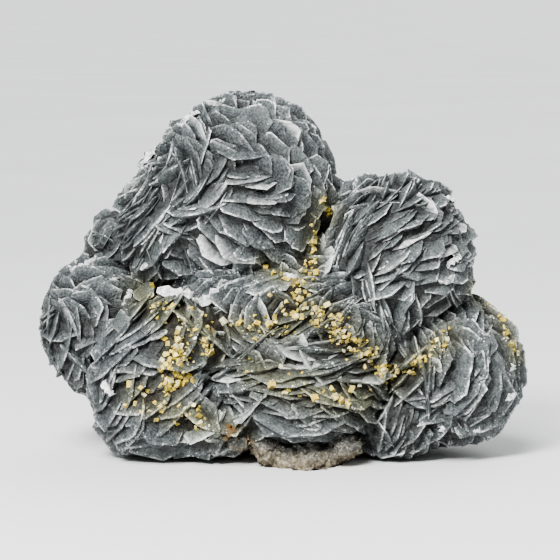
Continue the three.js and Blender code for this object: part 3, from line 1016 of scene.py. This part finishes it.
def loose_piece(name, made, tone, broken):
    """Blades that stand on the rosettes, as one piece"""
    points, edge, fan = made
    mesh, points = blades_mesh(name, points, edge, fan, 0 * edge + tone, broken)
    store_place(mesh, np.ones(len(points)), points)
    return dressed_calcite(piece(name, mesh))


CHIP_STANDS_OUT = 0.7
CHIP_SWAY, CHIP_RISE = 0.3, 0.15
CHIP_SWAYS, CHIP_RISES = 1.7, 2.3
CHIP_TAPER, CHIP_ROUND = 1.3, 0.7
CHIP_THIN, CHIP_UNEVEN = 0.25, 0.9
CHIP_LENGTH, CHIP_LENGTH_MORE, CHIP_THICK = 0.5, 1, 0.5
CHIP_JITTER = 0.2
CHIP_TONE = 0.5
CHIP_STEP = 40


def chip_rims(index, thick):
    """The broken rims' half thickness, uneven and tapering to both ends, for both faces"""
    places = index[:, None] + CHIP_STEP * np.arange(SIDES)
    uses = np.array([Use.CHIP_FRONT, Use.CHIP_BACK])[:, None, None]
    swell = np.cos(np.linspace(-CHIP_TAPER, CHIP_TAPER, SIDES)) ** CHIP_ROUND
    return thick[:, None] * swell * (CHIP_THIN + CHIP_UNEVEN * chance(CHIP_FAMILY, places, uses))


def make_chips(trees):
    """Slivers of blades that broke, whose rims face the front"""
    index = np.arange(len(CHIPS))
    x, z, runs, long, thick = (np.array(column, float) for column in zip(*CHIPS))
    half, thick = long / 2, thick / 2
    end = front_places(trees, x, z, CHIP_STANDS_OUT)
    sway, rise = CHIP_SWAY * np.sin(index * CHIP_SWAYS), CHIP_SWAY * np.cos(index * CHIP_RISES)
    tip = unit(np.stack([sway, -1 + 0 * x, CHIP_RISE + rise], axis=1))
    across = np.stack([np.cos(np.radians(runs)), 0 * x, np.sin(np.radians(runs))], axis=1)
    across = unit(flattened(across, tip))
    face = np.cross(tip, across)
    length = CHIP_LENGTH * half + CHIP_LENGTH_MORE
    form = length, half, CHIP_THICK * thick, chip_rims(index, thick), CHIP_JITTER
    made = blades(CHIP_FAMILY, index, tip, face, across, end, *form)
    loose_piece("broken_rims", made, CHIP_TONE, (made[1] == 1) * 1.0)


LARGE_THICK = 1.5
LARGE_STANDS_OUT = 1.2
LARGE_TONE = 0.8


def make_large_blades(trees):
    """The blades that stand out, leaning back from the line of sight"""
    index = np.arange(len(LARGE_BLADES))
    columns = (np.array(column, float) for column in zip(*LARGE_BLADES))
    x, z, looks, leans, half_width, half_length, white = columns
    end = front_places(trees, x, z, LARGE_STANDS_OUT)
    out = np.repeat([[0.0, -1.0, 0.0]], len(index), 0)
    looks, lean = np.radians(looks), np.radians(leans)
    face = np.stack([np.cos(looks), 0 * looks, np.sin(looks)], axis=1)
    across = np.cross(face, out)
    tip, face = turned(out, across, lean), turned(face, across, lean)
    thick = np.full(len(index), LARGE_THICK)
    rim = np.full((2, len(index), SIDES), USUAL_ROSETTE["blunt"])
    form = half_length, half_width, thick, rim
    made = blades(LARGE_FAMILY, index, tip, face, across, end, *form)
    return loose_piece("large_blades", made, LARGE_TONE, made[1] * white[:, None])


CRYSTAL_CUT = 0.84
CRYSTAL_SKEW = 0.22
CRYSTAL_SINKS = 0.12
CRYSTAL_LONG = 0.5
CRYSTAL_TURNS = 3
SMALLEST, SIZES_MORE, FEW_LARGE = 0.5, 0.8, 1.5
CLOSEST, STRAY_MORE = 0.35, 0.65
# The side from which the crystals' faces are painted lit
LIT_SIDE = unit(np.array([-0.35, -0.5, 0.8]))
FACET_SPREAD = 0.2


def block_points():
    """Corners of a skewed block with cut corners, about 1 across each way, and its faces"""
    inner = CRYSTAL_CUT / 2
    corners = []
    for x, y, z in product((-1, 1), repeat=3):
        corners += [(x / 2, y * inner, z * inner), (x * inner, y / 2, z * inner)]
        corners += [(x * inner, y * inner, z / 2)]
    hull = bmesh.new()
    for x, y, z in corners:
        hull.verts.new((x + CRYSTAL_SKEW * z, y + CRYSTAL_SKEW * x, z))
    bmesh.ops.convex_hull(hull, input=hull.verts)
    hull.verts.index_update()
    points = np.array([v.co for v in hull.verts])
    faces = np.array([[v.index for v in f.verts] for f in hull.faces])
    hull.free()
    return points, faces


def crystal_spots():
    """Where each crystal shows from the front, its size, its drift's tones and its own seeds"""
    for row, drift in enumerate(DRIFTS):
        family = DRIFT_FAMILY + row
        start, end = np.array(drift["start"], float), np.array(drift["end"], float)
        for index in range(drift["count"]):
            along = (index + chance(family, index, Seed.ALONG)) / drift["count"]
            stray = [spread(family, index, use) for use in (Seed.STRAY_X, Seed.STRAY_Z)]
            close = CLOSEST + STRAY_MORE * chance(family, index, Seed.CLOSE)
            x, z = start + (end - start) * along + np.array(stray) * drift["stray"] * close
            grown = SMALLEST + SIZES_MORE * chance(family, index, Seed.SIZE) ** FEW_LARGE
            yield x, z, drift["size"] * grown, drift["tones"], family, index


def crystal_corners(block, size, family, index):
    """A crystal's corners about its own middle, turned its own way"""
    uses = (Seed.AXIS_X, Seed.AXIS_Y, Seed.AXIS_Z)
    axis = unit(np.array([[spread(family, index, use) for use in uses]]))
    turn = np.full(len(block), CRYSTAL_TURNS * chance(family, index, Seed.TURN))
    long_way = np.array([1, 1, 1 + CRYSTAL_LONG * spread(family, index, Seed.LONG)])
    return turned(block * long_way * size, np.repeat(axis, len(block), 0), turn)


def facet_light_and_tone(corners, block_faces, family, index):
    """How lit each face of a crystal is painted: the most lit faces look up and to the left, and each
    differs a little at random
    """
    sides = corners[block_faces]
    looks = unit(np.cross(sides[:, 1] - sides[:, 0], sides[:, 2] - sides[:, 0]))
    uneven = FACET_SPREAD * spread(family, index, Seed.FACET + np.arange(len(looks)))
    return (0.5 + 0.5 * looks @ LIT_SIDE + uneven).clip(0, 1)


def make_crystals(trees):
    """Crystals where a line of sight from the front meets the calcite"""
    block, block_faces = block_points()
    points, faces, tones, lit_and_toned_facets = [], [], [], []
    for x, z, size, (palest, darkest), family, index in crystal_spots():
        deep = front_of(trees, x, z)
        if deep is None:
            continue
        corners = crystal_corners(block, size, family, index)
        faces += (block_faces + len(points) * len(block)).tolist()
        points.append(corners + np.array([x, deep + CRYSTAL_SINKS * size, z]))
        tone = palest + (darkest - palest) * chance(family, index, Seed.TONE)
        tones += [float(tone)] * len(block)
        lit_and_toned_facets += facet_light_and_tone(corners, block_faces, family, index).tolist()
    mesh = bpy.data.meshes.new("yellow_crystals")
    mesh.from_pydata((np.concatenate(points) * MM).tolist(), [], faces)
    store(mesh, "tone", tones)
    store(mesh, "lit_and_toned_facet", lit_and_toned_facets, "FACE")
    nodes = [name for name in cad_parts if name.startswith("yellow_crystals")]
    dressed(piece("yellow_crystals", mesh), CRYSTAL, "yellow_crystal", *nodes)


def surface_tree(item):
    return BVHTree.FromObject(item, bpy.context.evaluated_depsgraph_get())


calcite = make_rosettes()
make_stone()
trees = [surface_tree(item) for item in calcite]
trees.append(surface_tree(make_large_blades(trees)))
make_chips(trees)
make_crystals(trees)


# Floor, light and camera

FLOOR_REACH = 400.0
FLOOR_DARK, FLOOR_PALE, FLOOR_BAND = (0.8, 0.8, 0.79), (0.84, 0.84, 0.83), (0.3, 0.7)
WORLD_COLOUR = (0.93, 0.96, 1.0, 1)
WORLD_STRENGTH = 0.48
LAMPS_AIM = (0, 0, 0.05)
LOOK = "AgX - Medium High Contrast"

FRAME_SIDE = 560  # pixels
PIXEL = 0.33 * MM  # of the specimen's middle plane
LOOK_AT = (-0.33 * MM, 0, 57.7 * MM)
ELEVATION = math.radians(6)
DISTANCE = 0.9
SENSOR = 36


def floor_material():
    n = Nodes("pale floor")
    base = n.mix(n.step(n.noise(scale=3, detail=2), *FLOOR_BAND), FLOOR_DARK, FLOOR_PALE)
    return n.set(Base_Color=base, Roughness=0.75)


def make_floor():
    mesh = bpy.data.meshes.new("floor")
    corners = [(x * FLOOR_REACH, y * FLOOR_REACH, 0) for x, y in ((-1, -1), (1, -1), (1, 1), (-1, 1))]
    mesh.from_pydata(corners, [], [(0, 1, 2, 3)])
    floor = piece("floor", mesh)
    mesh.materials.append(floor_material())


def aim(item, place, target):
    item.location = place
    item.rotation_euler = (Vector(target) - Vector(place)).to_track_quat("-Z", "Y").to_euler()


def make_lamp(name, kind, place, **values):
    lamp = bpy.data.lights.new(name, kind)
    for key, value in values.items():
        setattr(lamp, key, value)
    holder = bpy.data.objects.new(name, lamp)
    bpy.context.scene.collection.objects.link(holder)
    aim(holder, place, LAMPS_AIM)


def make_world():
    world = bpy.data.worlds.new("studio")
    world.use_nodes = True
    back = world.node_tree.nodes["Background"]
    back.inputs["Color"].default_value = WORLD_COLOUR
    back.inputs["Strength"].default_value = WORLD_STRENGTH
    bpy.context.scene.world = world
    bpy.context.scene.view_settings.look = LOOK


def make_camera():
    data = bpy.data.cameras.new("camera")
    data.sensor_width = SENSOR
    data.lens = data.sensor_width * DISTANCE / (FRAME_SIDE * PIXEL)
    camera = bpy.data.objects.new("camera", data)
    bpy.context.scene.collection.objects.link(camera)
    back = Vector((0, -math.cos(ELEVATION), math.sin(ELEVATION))) * DISTANCE
    aim(camera, Vector(LOOK_AT) + back, LOOK_AT)
    bpy.context.scene.camera = camera


make_floor()
make_world()
make_lamp("sky", "SUN", (-0.18, -0.6, 0.9), energy=2.65, angle=math.radians(22))
make_lamp("fill", "SUN", (0.5, 0.8, 0.7), energy=1.3, angle=math.radians(70))
make_lamp("key", "AREA", (-0.3, -0.7, 0.6), energy=11, shape="DISK", size=0.25)
make_camera()
